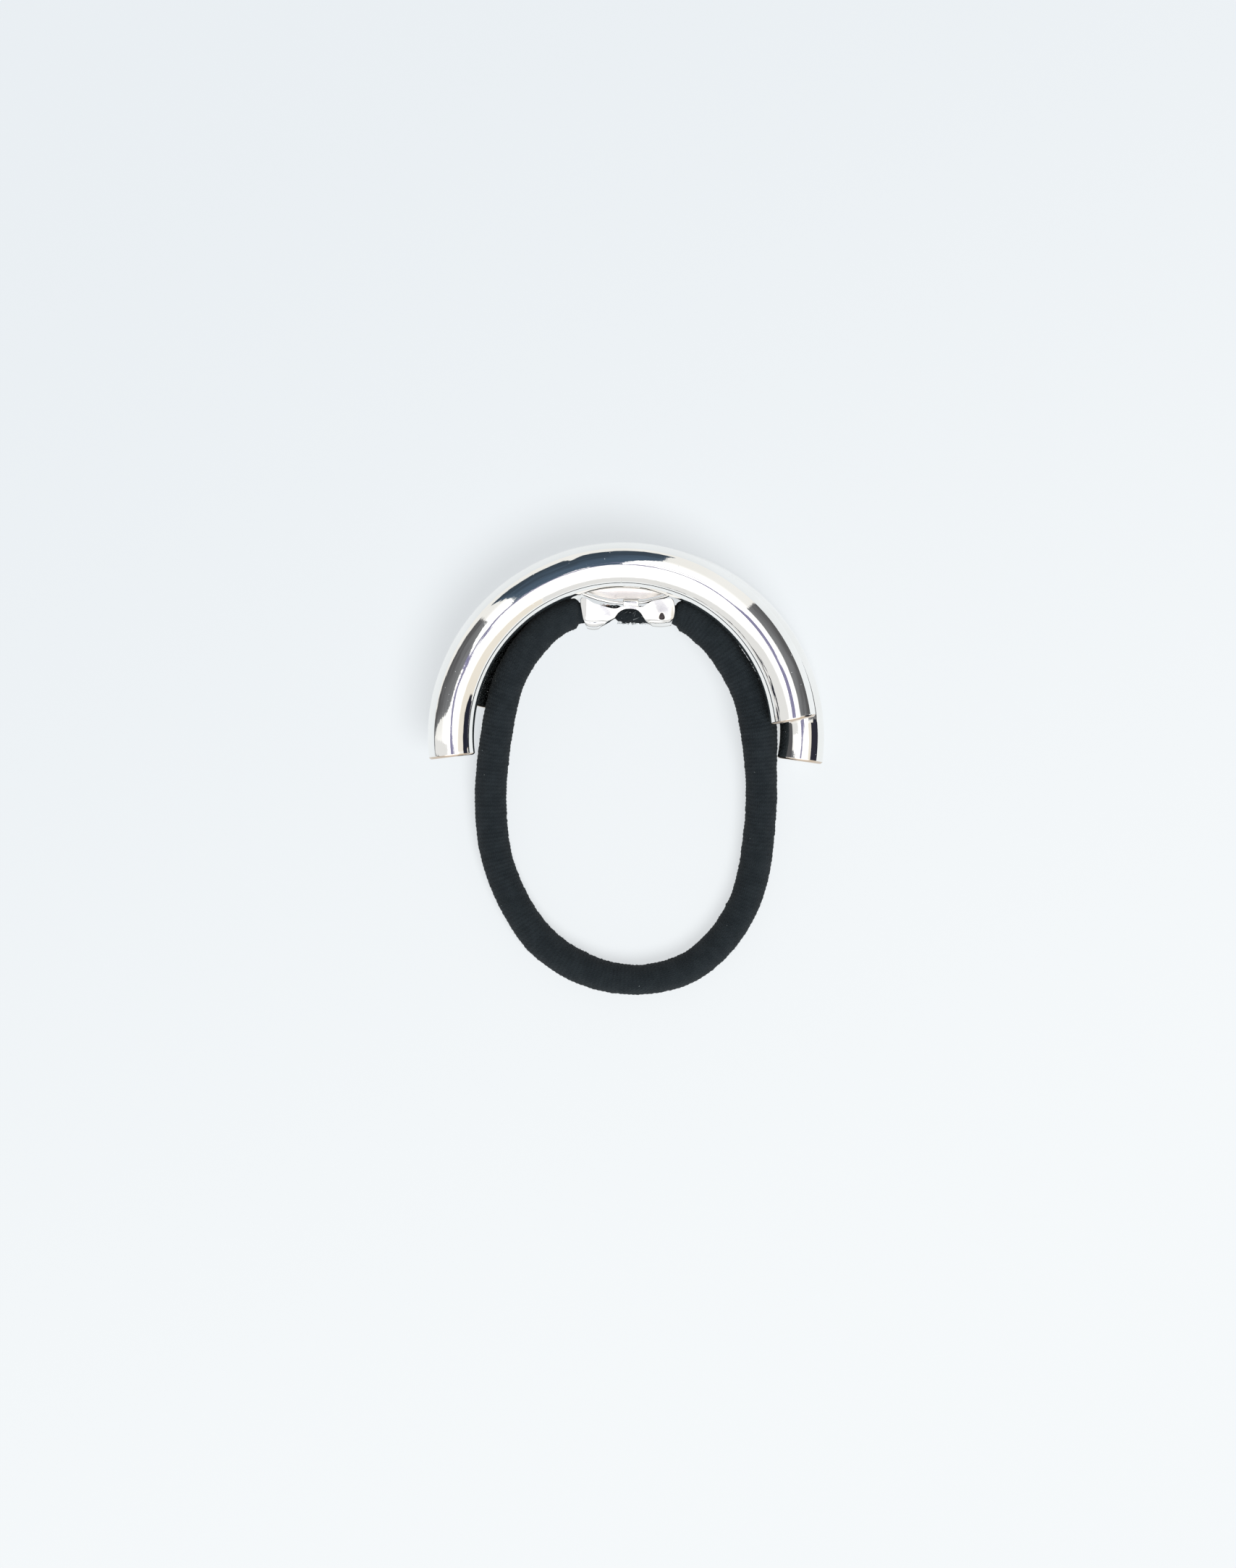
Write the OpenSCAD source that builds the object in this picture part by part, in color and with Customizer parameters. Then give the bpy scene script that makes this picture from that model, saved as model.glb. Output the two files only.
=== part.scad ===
// Ponytail cuff lying on its side: two bent tubes soldered one above the other, a small
// strap soldered across the inside of their bend, and a stamped clip that hooks round the
// strap and grips both ends of a round elastic. +Z is along the ponytail, and the cuff rests
// on z = 0. The origin is under the middle of the metal's box.
// The metal is laid out about the centre of the upper tube's ring, then moved to the origin.

/* [Tubes] */
// Outside diameter of each tube
tube_d = 6; // [5.4:0.1:6.6]
// Wall thickness of each tube
tube_wall = 0.8; // [0.6:0.05:1.2]
// Radius of the bend, to the middle of the tube
ring_r = 22.2; // [21.6:0.1:24]
// Solder thickness where the two tubes come nearest
tube_gap = 0.05; // [0.03:0.01:0.15]
// How far the lower tube is pushed to the right of the upper one
lower_shift = 1.2; // [0.6:0.1:1.6]
// Angle of the upper tube's right end, from +X
upper_from = 5.2; // [2:0.1:10]
// Angle of the upper tube's left end
upper_to = 186.9; // [180:0.1:190]
// Angle of the lower tube's right end
lower_from = -8.2; // [-12:0.1:-4]
// Angle of the lower tube's left end
lower_to = 168.3; // [165:0.1:174]

/* [End caps] */
// Thickness of the disc soldered into each tube end
cap_t = 0.6; // [0.4:0.05:1]
// Bevel round the edge of that disc
cap_bevel = 0.25; // [0.1:0.05:0.35]

/* [Solder seam] */
// Width of the solder between the two tubes
seam_w = 1.6; // [1:0.1:2]

/* [Strap] */
// Thickness of the strap
strap_t = 0.4; // [0.3:0.05:0.6]
// Radius that the strap is bowed to
strap_bow = 14; // [12:0.5:18]
// Clear depth between the tube wall and the middle of the strap
strap_stand = 1.65; // [1.4:0.05:1.9]
// How far the strap and the clip sit to the right of the upper ring's centre
clip_x = 0.7; // [0:0.1:1.2]

/* [Clip] */
// Thickness of the stamped sheet
sheet_t = 0.4; // [0.3:0.05:0.5]
// Width of the clip, from edge to edge along the elastic
clip_w = 12.3; // [11.5:0.1:13]
// Radius of the round notch between the two folded tabs
notch_r = 2.3; // [1.8:0.1:2.6]
// How far the notch's middle sits to the right of the clip's
notch_x = 0.4; // [0:0.1:0.8]
// Depth that the notch leaves in front of the strap
waist_t = 0.5; // [0.4:0.05:0.7]
// Width of the bar that hooks behind the strap
bar_w = 2; // [1.2:0.1:3]

/* [Elastic] */
// Diameter of the elastic where it lies free
elastic_d = 4; // [3.6:0.1:4.2]
// Diameter of the elastic where the clip grips it
grip_d = 2.8; // [2.6:0.05:3.1]

/* [Clearances] */
// Clearance round the elastic inside the clip
grip_gap = 0.05; // [0.03:0.01:0.1]
// Clearance between the strap and what lies against it
strap_gap = 0.1; // [0.05:0.01:0.15]
// Height of the free elastic above the surface it lies on
lay_gap = 0.05; // [0.02:0.01:0.1]

/* [Hidden] */
$fn = 96;

tube_r = tube_d / 2;
bore_r = tube_r - tube_wall;
low_z = tube_r;
high_z = low_z + tube_d + tube_gap;
mid_z = (low_z + high_z) / 2;
mid_x = lower_shift / 2;
wall_r = ring_r - tube_r;

// The angle that a cap's thickness takes up along the bend
cap_angle = cap_t / ring_r * 180 / PI;

// The seam bites into both walls without reaching the bores, and stops short of the tube ends
seam_bite = tube_wall * 0.7;
seam_h = tube_gap + 2 * seam_bite;
seam_short = 2.5;
seam_from = max(upper_from, lower_from) + seam_short;
seam_to = min(upper_to, lower_to) - seam_short;

// The elastic passes in front of the strap, and the clip is folded round both, so the strap is
// as high as the fold lets it be
grip_r = grip_d / 2;
fold_in = grip_r + grip_gap;
fold_out = fold_in + sheet_t;
strap_h = 2 * (fold_in - strap_gap);
strap_rear = wall_r - strap_stand;
strap_front = strap_rear - strap_t;
grip_y = strap_front - strap_gap - grip_r;

// The strap's ends are buried in the tube walls, half way between the outside and the bore at
// the height of the strap's edges
strap_edge = (high_z - low_z - strap_h) / 2;
strap_end_r = ring_r - (sqrt(tube_r ^ 2 - strap_edge ^ 2) + sqrt(bore_r ^ 2 - strap_edge ^ 2)) / 2;

// The bar clears the back of the strap, which has bowed rearwards by bar_rise at the bar's far
// edge
bow_in = strap_bow - strap_t / 2;
bow_out = strap_bow + strap_t / 2;
bar_rise = bow_in - sqrt(bow_in ^ 2 - (notch_x + bar_w / 2) ^ 2);
bar_front = strap_rear + bar_rise + strap_gap - grip_y;
bar_rear = bar_front + sheet_t;

// The lowest corner of the metal, in y, is on the end face that goes furthest past the x axis
metal_low = -(ring_r + tube_r - cap_bevel) * sin(max(-lower_from, upper_to - 180));
origin = [mid_x, (ring_r + tube_r + metal_low) / 2, 0];

// Half of the clip as it looks from above, to the left of its middle and to the right of it.
// Each row is a corner: its share of half the clip's width, and its depth from the elastic's
// middle as a share of the depth at which the sheet turns down behind the strap. Both tabs end
// short of that depth, so they are open at the back.
LEFT_TAB = [
    [-0.18, 0.65], [-0.31, 0.55], [-0.62, 0.86], [-0.70, 0.97],
    [-0.96, 0.97], [-1.00, 0.62], [-0.86, -1.27]
];
RIGHT_TAB = [
    [0.88, -1.27], [1.00, -0.19], [1.00, 0.42], [0.92, 0.97],
    [0.58, 0.97], [0.40, 0.68]
];

// The elastic's route, as it lies, from the end in the left tab round to the end in the right
// one. Each row is x and y in mm from the middle of the clip's grip, the height as a share of
// the clip's height above the resting place, and how far it is squeezed from free (0) to
// gripped (1).
ROUTE = [
    [-1.4, 0, 1, 1], [-3.8, 0, 1, 1], [-6.2, 0.4, 1, 1], [-6.8, 0.4, 1, 0.1],
    [-9.2, -0.5, 0.99, 0], [-12.2, -3.1, 0.96, 0], [-14.9, -7.1, 0.86, 0],
    [-16.3, -11.1, 0.72, 0], [-17.1, -15.2, 0.52, 0], [-17.7, -19.8, 0.3, 0],
    [-17.9, -23.4, 0.17, 0], [-17.6, -29, 0.04, 0], [-16.7, -32.9, 0, 0],
    [-14.7, -37.5, 0, 0], [-11.5, -42.1, 0, 0], [-6.8, -45.5, 0, 0], [-2.2, -47.1, 0, 0],
    [2.8, -47.3, 0, 0], [7.8, -45.9, 0, 0], [12.2, -42.3, 0, 0], [15.2, -37.5, 0, 0],
    [16.6, -32.9, 0, 0], [17.1, -29, 0.04, 0], [17.5, -23.4, 0.17, 0],
    [17.3, -18.6, 0.32, 0], [16.7, -13.5, 0.52, 0], [15.8, -10.3, 0.7, 0],
    [13.5, -5.9, 0.88, 0], [10.2, -1.9, 0.97, 0], [6.8, 0.1, 1, 0.1], [6.2, 0.1, 1, 1],
    [3.8, 0, 1, 1], [1.2, 0, 1, 1], [-1.2, 0, 1, 1]
];
ELASTIC_SIDES = 12;

// Everything is drawn about the upper ring's centre and moved to the part's origin
module at_origin() {
    translate(-origin) children();
}

// What the bevel cuts off the rim of a tube's end: all that lies outside a cone whose edge
// meets the end face, at the origin here and facing +Z. It is turned on its axis, so that the
// line where it closes on itself stays away from the line where the tube's round wall does.
module rim_cutter() {
    spare = tube_r / 6;
    deep = cap_bevel + spare;
    axis_turn = 50;
    rotate([0, 0, axis_turn])
    translate([0, 0, -deep])
    difference() {
        cylinder(h = deep + spare, r = tube_r + 3 * spare);
        cylinder(h = deep + spare, r1 = tube_r + spare, r2 = tube_r - cap_bevel - spare);
    }
}

// One hollow tube bent round +Z, closed at each end by a disc soldered in flush
module bent_tube(from, to, z) {
    difference() {
        rotate([0, 0, from])
        rotate_extrude(angle = to - from)
        translate([ring_r, z])
        circle(r = tube_r);

        rotate([0, 0, from + cap_angle])
        rotate_extrude(angle = to - from - 2 * cap_angle)
        translate([ring_r, z])
        circle(r = bore_r);

        rotate([0, 0, from])
        translate([ring_r, 0, z])
        rotate([90, 0, 0])
        rim_cutter();

        rotate([0, 0, to])
        translate([ring_r, 0, z])
        rotate([-90, 0, 0])
        rim_cutter();
    }
}

// The solder that joins the two tubes along the line where they come nearest
module solder_seam() {
    translate([mid_x, 0, 0])
    rotate([0, 0, seam_from])
    rotate_extrude(angle = seam_to - seam_from)
    translate([ring_r - seam_w / 2, mid_z - seam_h / 2])
    square([seam_w, seam_h]);
}

// The bowed strap inside the bend, cut off inside the tube walls that it is soldered to
module strap() {
    translate([0, 0, mid_z - strap_h / 2])
    linear_extrude(strap_h)
    intersection() {
        translate([clip_x, strap_front + bow_out])
        difference() {
            circle(r = bow_out);
            circle(r = bow_in);
        }
        translate([mid_x, 0])
        circle(r = strap_end_r);
    }
}

// Both tubes, their caps, the seam and the strap are soldered into one piece
module tube_pair() {
    color([0.9, 0.89, 0.87])
    at_origin() {
        bent_tube(upper_from, upper_to, high_z);
        translate([lower_shift, 0, 0])
        bent_tube(lower_from, lower_to, low_z);
        solder_seam();
        strap();
    }
}

// The folded sheet seen along the elastic: round in front of it, flat above and below it,
// and upright behind the strap
module clip_section() {
    difference() {
        union() {
            circle(r = fold_out);
            translate([0, -fold_out])
            square([bar_rear, 2 * fold_out]);
        }
        circle(r = fold_in);
        translate([0, -fold_in])
        square([bar_front, 2 * fold_in]);
    }
}

// The stamped outline seen from above: two flared tabs, a round notch between them, and the
// bar at the waist
module clip_outline() {
    corners = [for (c = concat(LEFT_TAB, RIGHT_TAB)) [c[0] * clip_w / 2, c[1] * bar_front]];
    difference() {
        union() {
            polygon(corners);
            translate([notch_x - bar_w / 2, 0])
            square([bar_w, bar_rear + sheet_t]);
        }
        translate([notch_x, strap_front - grip_y - waist_t - notch_r])
        circle(r = notch_r);
        translate([notch_x - notch_r, -2 * fold_out])
        square([2 * notch_r, strap_front - grip_y - waist_t - notch_r + 2 * fold_out]);
    }
}

// The clip: the section and the outline cut out of each other
module elastic_clip() {
    color([0.93, 0.93, 0.94])
    at_origin()
    translate([clip_x, grip_y, mid_z])
    intersection() {
        rotate([90, 0, 90])
        translate([0, 0, -clip_w])
        linear_extrude(2 * clip_w)
        clip_section();
        translate([0, 0, -2 * fold_out])
        linear_extrude(4 * fold_out)
        clip_outline();
    }
}

// A point of the route, in mm
lay_z = elastic_d / 2 + lay_gap;
function route_at(row) =
    [clip_x + row[0], grip_y + row[1], lay_z + (mid_z - lay_z) * row[2]];
function radius_at(row) = elastic_d / 2 + (grip_r - elastic_d / 2) * row[3];
function unit(v) = v / norm(v);
function along(p, i) = unit(p[min(i + 1, len(p) - 1)] - p[max(i - 1, 0)]);

// One ring of the swept elastic, square to its route
function ring_of(p, i, r) =
    let (
        t = along(p, i),
        side = unit(cross([0, 0, 1], t)),
        up = cross(t, side)
    )
    [for (k = [0 : ELASTIC_SIDES - 1])
        let (a = 360 * k / ELASTIC_SIDES)
        p[i] + r * (cos(a) * side + sin(a) * up)];

// The elastic: a round cord swept along its route, open between its two butted ends
module elastic_loop() {
    n = ELASTIC_SIDES;
    path = [for (row = ROUTE) route_at(row)];
    last = len(path) - 1;
    points = [for (i = [0 : last]) each ring_of(path, i, radius_at(ROUTE[i]))];
    sides = [for (i = [0 : last - 1], k = [0 : n - 1], half = [0, 1])
        let (a = i * n + k, b = i * n + (k + 1) % n)
        half == 0 ? [a, b, b + n] : [a, b + n, a + n]];
    ends = [[for (k = [0 : n - 1]) n - 1 - k], [for (k = [0 : n - 1]) last * n + k]];
    color([0.09, 0.11, 0.12])
    at_origin()
    polyhedron(points, concat(sides, ends));
}

tube_pair();
elastic_clip();
elastic_loop();
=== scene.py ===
# A ponytail cuff lying on its side on a pale table: two bent silver tubes soldered together,
# a strap inside their bend, and a stamped clip that holds a black knitted elastic.
import math

import bmesh
import bpy
import numpy as np
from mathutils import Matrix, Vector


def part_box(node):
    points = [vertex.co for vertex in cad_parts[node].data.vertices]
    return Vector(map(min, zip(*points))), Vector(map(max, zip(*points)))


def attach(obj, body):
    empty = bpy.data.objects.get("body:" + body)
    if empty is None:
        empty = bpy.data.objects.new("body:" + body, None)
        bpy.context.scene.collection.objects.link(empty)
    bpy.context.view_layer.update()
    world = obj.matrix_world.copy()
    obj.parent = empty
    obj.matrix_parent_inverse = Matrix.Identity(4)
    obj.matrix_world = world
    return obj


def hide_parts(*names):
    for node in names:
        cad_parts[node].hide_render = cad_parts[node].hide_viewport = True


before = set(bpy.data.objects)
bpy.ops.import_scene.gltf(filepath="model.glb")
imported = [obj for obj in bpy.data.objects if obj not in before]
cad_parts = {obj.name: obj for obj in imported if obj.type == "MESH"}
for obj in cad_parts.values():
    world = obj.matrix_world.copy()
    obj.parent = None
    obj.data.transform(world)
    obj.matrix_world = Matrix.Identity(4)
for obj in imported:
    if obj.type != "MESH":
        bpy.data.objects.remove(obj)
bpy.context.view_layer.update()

MM = 0.001
metal_low, metal_high = (np.array(corner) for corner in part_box("tube_pair"))

# The two tubes
# Each is a silver-plated brass tube bent to half a ring, closed at both ends by a flush disc
# with a filed rim. The lower one sits a little further right, so their ends are staggered.
TUBE_R = 3 * MM
BEND_R = 22.2 * MM
RIM_BEVEL = 0.25 * MM
# The angles of the right and the left end round the bend, and the slants of their cuts
UPPER_ENDS, UPPER_SLANTS = (5.2, 186.9), (6, 0)
LOWER_ENDS, LOWER_SLANTS = (-8.2, 168.3), (0, -5)
SLANT_FADE = 5 * MM
WAVE_H = 0.006 * MM
WAVE_FADE = 3 * MM
TUBE_ROWS, TUBE_COLS = 300, 96

bend_y = metal_high[1] - BEND_R - TUBE_R
upper_centre = np.array([metal_low[0] + BEND_R + TUBE_R, bend_y, metal_high[2] - TUBE_R])
lower_centre = np.array([metal_high[0] - BEND_R - TUBE_R, bend_y, metal_low[2] + TUBE_R])


def face_outwards(mesh):
    """Turns the faces of a closed mesh round if the volume that they enclose is negative."""
    shape = bmesh.new()
    shape.from_mesh(mesh)
    if shape.calc_volume(signed=True) < 0:
        mesh.flip_normals()
    shape.free()


def placed(name, data):
    """A new object in the scene, at the origin."""
    thing = bpy.data.objects.new(name, data)
    bpy.context.collection.objects.link(thing)
    return thing


def skin(name, grid, wrap=True, caps=True, ring=False, uv=False):
    """A closed mesh over a grid of points, one row after another. Each cell is a quad; wrap
    joins the last column to the first, ring joins the last row to the first, and caps closes
    the end rows with a fan round their middle. uv lays a UV map over the grid, in shares of its
    rows and columns. The faces of a closed mesh point outwards."""
    rows, cols = grid.shape[:2]
    span = cols if wrap else cols - 1
    steps = rows if ring else rows - 1
    i, j = np.meshgrid(np.arange(steps), np.arange(span), indexing="ij")
    corner_i = np.stack([i, i, i + 1, i + 1], axis=-1).reshape(-1, 4)
    corner_j = np.stack([j, j + 1, j + 1, j], axis=-1).reshape(-1, 4)
    faces = (corner_i % rows * cols + corner_j % cols).tolist()
    points = grid.reshape(-1, 3)
    if caps:
        points = np.vstack([points, grid[0].mean(axis=0), grid[-1].mean(axis=0)])
        near, far, last = rows * cols, rows * cols + 1, (rows - 1) * cols
        column = np.arange(span)
        following = (column + 1) % cols
        faces += np.stack([following, column, np.full(span, near)], axis=1).tolist()
        faces += np.stack([last + column, last + following, np.full(span, far)], axis=1).tolist()
    mesh = bpy.data.meshes.new(name)
    mesh.from_pydata(points.tolist(), [], faces)
    mesh.shade_smooth()
    if uv:
        layer = mesh.uv_layers.new(name="along")
        cells = np.stack([corner_i / (rows - 1), corner_j / span], axis=-1).reshape(-1, 2)
        spare = len(mesh.loops) - len(cells)
        layer.uv.foreach_set("vector", np.vstack([cells, np.zeros((spare, 2))]).ravel())
    if wrap:
        face_outwards(mesh)
    return placed(name, mesh)


def full_turn(count):
    """Evenly spaced angles once round."""
    return np.linspace(0, 2 * math.pi, count, endpoint=False)


def carry(section_x, section_z, turn, centre, radius):
    """Carries a flat section round the bend: each point lies outward by section_x and upward
    by section_z, at its angle turn about the upright axis. A row of points is one section."""
    reach = radius + section_x
    return np.stack(np.broadcast_arrays(centre[0] + reach * np.cos(turn),
                                        centre[1] + reach * np.sin(turn),
                                        centre[2] + section_z), axis=-1)


def bent_tube(name, centre, ends, slants):
    """A round section carried round the bend. Its radius starts at nothing in the middle of
    the end disc, widens to the disc's edge, climbs the bevel, and holds along the tube with a
    waviness of under two hundredths of a millimetre, a sum of three slow sines. Each end's cut
    is slanted about the upright axis by its angle, which fades out along the tube."""
    length = math.radians(ends[1] - ends[0]) * BEND_R
    edge = TUBE_R - RIM_BEVEL
    near = np.array([[0, 0.5 * edge], [0, edge - 0.1 * MM], [0, edge],
                     [0.35 * RIM_BEVEL, edge + 0.45 * RIM_BEVEL], [RIM_BEVEL, TUBE_R]])
    middle = np.linspace(1.4 * RIM_BEVEL, length - 1.4 * RIM_BEVEL, TUBE_ROWS)
    far = near[::-1] * [-1, 1] + [length, 0]
    along = np.concatenate([near[:, 0], middle, far[:, 0]])
    radius = np.concatenate([near[:, 1], np.full(len(middle), TUBE_R), far[:, 1]])
    around = full_turn(TUBE_COLS)
    turn = math.radians(ends[0]) + along[:, None] / BEND_R
    wave = (np.sin(11 * turn + 2 * around) + np.sin(17 * turn - around + 2)
            + np.sin(5 * turn + 3 * around + 4))
    held = np.clip(np.minimum(along, length - along) / WAVE_FADE, 0, 1)[:, None]
    spread = radius[:, None] + WAVE_H * wave * held
    for angle, reach in zip(slants, (along, length - along)):
        slant = math.tan(math.radians(angle)) * np.clip(1 - reach / SLANT_FADE, 0, 1)[:, None]
        turn = turn + slant * spread * np.cos(around) / BEND_R
    grid = carry(spread * np.cos(around), spread * np.sin(around), turn, centre, BEND_R)
    return skin(name, grid, uv=True)


def material(name, **sockets):
    """A Principled material with constants on the shader's own sockets."""
    made = bpy.data.materials.new(name)
    made.use_nodes = True
    shader = made.node_tree.nodes["Principled BSDF"]
    for socket, value in sockets.items():
        shader.inputs[socket.replace("_", " ")].default_value = value
    return made, made.node_tree, shader


def maths(tree, operation, *values):
    """A Math node. Each value is a number or a socket."""
    node = tree.nodes.new("ShaderNodeMath")
    node.operation = operation
    for socket, value in zip(node.inputs, values):
        if isinstance(value, (int, float)):
            socket.default_value = value
        else:
            tree.links.new(value, socket)
    return node.outputs[0]


def vectors(tree, operation, *values):
    """A Vector Math node. Each value is a triple or a socket, and the length, dot product or
    vector comes out."""
    node = tree.nodes.new("ShaderNodeVectorMath")
    node.operation = operation
    for socket, value in zip(node.inputs, values):
        if isinstance(value, tuple):
            socket.default_value = value
        else:
            tree.links.new(value, socket)
    return node.outputs["Value" if operation in ("LENGTH", "DOT_PRODUCT", "DISTANCE") else "Vector"]


def ramp(tree, value, low, high, to_low=0.0, to_high=1.0):
    """to_low below low, to_high above high, and a smooth step between."""
    node = tree.nodes.new("ShaderNodeMapRange")
    node.interpolation_type = "SMOOTHSTEP"
    tree.links.new(value, node.inputs["Value"])
    for socket, number in (("From Min", low), ("From Max", high), ("To Min", to_low), ("To Max", to_high)):
        node.inputs[socket].default_value = number
    return node.outputs["Result"]


def mixed(tree, factor, first, second):
    """A colour between first and second. Each is a triple or a socket."""
    node = tree.nodes.new("ShaderNodeMix")
    node.data_type = "RGBA"
    tree.links.new(factor, node.inputs["Factor"])
    for socket, value in ((node.inputs[6], first), (node.inputs[7], second)):
        if isinstance(value, tuple):
            socket.default_value = value + (1,)
        else:
            tree.links.new(value, socket)
    return node.outputs[2]


def axes(tree, vector):
    """The X, Y and Z of a vector, as sockets."""
    node = tree.nodes.new("ShaderNodeSeparateXYZ")
    tree.links.new(vector, node.inputs[0])
    return node.outputs


def noise(tree, place, scale, detail):
    """A cloud of values round a half."""
    node = tree.nodes.new("ShaderNodeTexNoise")
    node.inputs["Scale"].default_value = scale
    node.inputs["Detail"].default_value = detail
    tree.links.new(place, node.inputs["Vector"])
    return node.outputs["Fac"]


def raised(tree, shader, height, distance, dent=False):
    """Raises the shader's surface by the height, or dents it, on top of its other bumps."""
    node = tree.nodes.new("ShaderNodeBump")
    node.invert = dent
    node.inputs["Distance"].default_value = distance
    tree.links.new(height, node.inputs["Height"])
    normal = shader.inputs["Normal"]
    if normal.is_linked:
        tree.links.new(normal.links[0].from_socket, node.inputs["Normal"])
    tree.links.new(node.outputs[0], normal)


def handling_marks():
    """Marks of handling as a node group, from the place on the piece in metres. Dust is 1 on
    sparse specks, Haze is a slow cloud, and Height is the plate's fine unevenness."""
    group = bpy.data.node_groups.new("handling_marks", "ShaderNodeTree")
    group.interface.new_socket("Place", in_out="INPUT", socket_type="NodeSocketVector")
    for name in ("Dust", "Haze", "Height"):
        group.interface.new_socket(name, in_out="OUTPUT", socket_type="NodeSocketFloat")
    place = group.nodes.new("NodeGroupInput").outputs["Place"]
    shown = group.nodes.new("NodeGroupOutput")
    specks = group.nodes.new("ShaderNodeTexVoronoi")
    specks.inputs["Scale"].default_value = DUST_PER_M
    group.links.new(place, specks.inputs["Vector"])
    luck = axes(group, specks.outputs["Color"])["X"]
    reach = maths(group, "DIVIDE", specks.outputs["Distance"], luck)
    group.links.new(ramp(group, reach, DUST_REACH, 1.6 * DUST_REACH, 1, 0), shown.inputs["Dust"])
    group.links.new(noise(group, place, HAZE_PER_M, 3), shown.inputs["Haze"])
    group.links.new(noise(group, place, UNEVEN_PER_M, 2), shown.inputs["Height"])
    return group


def plated(name, clean, hazed, roughness, unevenness):
    """Bright plate with the marks of handling: the colour and roughness drift with the haze,
    and the specks of dust are pale and dull."""
    look, tree, shader = material(name)
    place = tree.nodes.new("ShaderNodeTexCoord").outputs["Object"]
    marks = tree.nodes.new("ShaderNodeGroup")
    marks.node_tree = handled
    tree.links.new(place, marks.inputs["Place"])
    haze, dust = marks.outputs["Haze"], marks.outputs["Dust"]
    colour = mixed(tree, dust, mixed(tree, ramp(tree, haze, 0.4, 0.65), clean, hazed), DUST_TINT)
    tree.links.new(colour, shader.inputs["Base Color"])
    tree.links.new(ramp(tree, dust, 0, 1, 1, 0.1), shader.inputs["Metallic"])
    rough = ramp(tree, haze, 0.35, 0.7, *roughness)
    tree.links.new(maths(tree, "MULTIPLY_ADD", dust, 0.6, rough), shader.inputs["Roughness"])
    raised(tree, shader, marks.outputs["Height"], unevenness)
    return look, tree, shader, place


def tinted(tree, shader, mask, tint):
    """Lays a tint over the shader's colour where the mask is 1."""
    colour = shader.inputs["Base Color"]
    tree.links.new(mixed(tree, mask, colour.links[0].from_socket, tint), colour)


def finish_piece(piece, node, look):
    """The piece stands for a node of the frame, rides with the cuff and takes its finish. One
    without a map along it gets one that lies in the middle of the run, away from the rims."""
    if not piece.data.uv_layers:
        layer = piece.data.uv_layers.new(name="along")
        layer.uv.foreach_set("vector", np.full(2 * len(piece.data.loops), 0.5))
    piece.data.materials.append(look)
    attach(piece, "root")
    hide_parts(node)


DUST_PER_M, HAZE_PER_M, UNEVEN_PER_M = 1500, 110, 1300
DUST_REACH = 0.065
DUST_TINT = (0.8, 0.82, 0.84)
handled = handling_marks()
silver, silver_tree, silver_shader, silver_place = plated(
    "silver_plate", clean=(0.965, 0.958, 0.94), hazed=(0.94, 0.93, 0.905),
    roughness=(0.018, 0.045), unevenness=0.0022 * MM)

# The filed rims have lost their plate and show warm, in a band that starts at the tube's round
# and ends on the disc. Its place is a share of the rows of the tube's mesh.
RIM_SHARE = 0.0146
RIM_TINT = (0.68, 0.57, 0.47)
run = silver_tree.nodes.new("ShaderNodeUVMap")
run.uv_map = "along"
from_middle = maths(silver_tree, "SUBTRACT", axes(silver_tree, run.outputs[0])["X"], 0.5)
from_middle = maths(silver_tree, "ABSOLUTE", from_middle)
rim = maths(silver_tree, "MULTIPLY",
            ramp(silver_tree, from_middle, 0.5 - RIM_SHARE, 0.5 - 0.9 * RIM_SHARE),
            ramp(silver_tree, from_middle, 0.5 - 0.45 * RIM_SHARE, 0.5 - 0.22 * RIM_SHARE, 1, 0))
tinted(silver_tree, silver_shader, rim, RIM_TINT)

# A nick across the inner side of the upper tube, near the middle of the bend
NICK_AT = (-0.15 * MM, 20.2 * MM, 2.2 * MM)
NICK_SIZE = (0.13 * MM, 0.45 * MM, 0.6 * MM)
NICK_DEPTH = 0.03 * MM
nick_place = tuple(float(v) for v in upper_centre + NICK_AT)
nick_offset = vectors(silver_tree, "SUBTRACT", silver_place, nick_place)
nick_offset = vectors(silver_tree, "DIVIDE", nick_offset, NICK_SIZE)
nick = ramp(silver_tree, vectors(silver_tree, "LENGTH", nick_offset), 0.2, 1, 1, 0)
raised(silver_tree, silver_shader, nick, NICK_DEPTH, dent=True)

upper_tube = bent_tube("upper_tube", upper_centre, UPPER_ENDS, UPPER_SLANTS)
finish_piece(upper_tube, "tube_pair", silver)
lower_tube = bent_tube("lower_tube", lower_centre, LOWER_ENDS, LOWER_SLANTS)
finish_piece(lower_tube, "tube_pair", silver)

# The solder seam
# Silver solder run into the groove where the two tubes meet, before the cuff is plated.
SEAM_W = 1.6 * MM
SEAM_ENDS = (7.7, 165.8)
SEAM_HALF_H = 0.35 * MM
SEAM_FADE = 0.05

seam_centre = (upper_centre + lower_centre) / 2
seam_turn = np.radians(np.linspace(*SEAM_ENDS, 240))
seam_round = full_turn(24)
seam_left = np.minimum(seam_turn - seam_turn[0], seam_turn[-1] - seam_turn)
seam_taper = np.clip(seam_left / SEAM_FADE, 0.1, 1)[:, None]
seam_grid = carry(seam_taper * SEAM_W / 2 * np.cos(seam_round),
                  seam_taper * SEAM_HALF_H * np.sin(seam_round),
                  seam_turn[:, None], seam_centre, BEND_R)
solder_seam = skin("solder_seam", seam_grid)
finish_piece(solder_seam, "tube_pair", silver)

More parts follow.
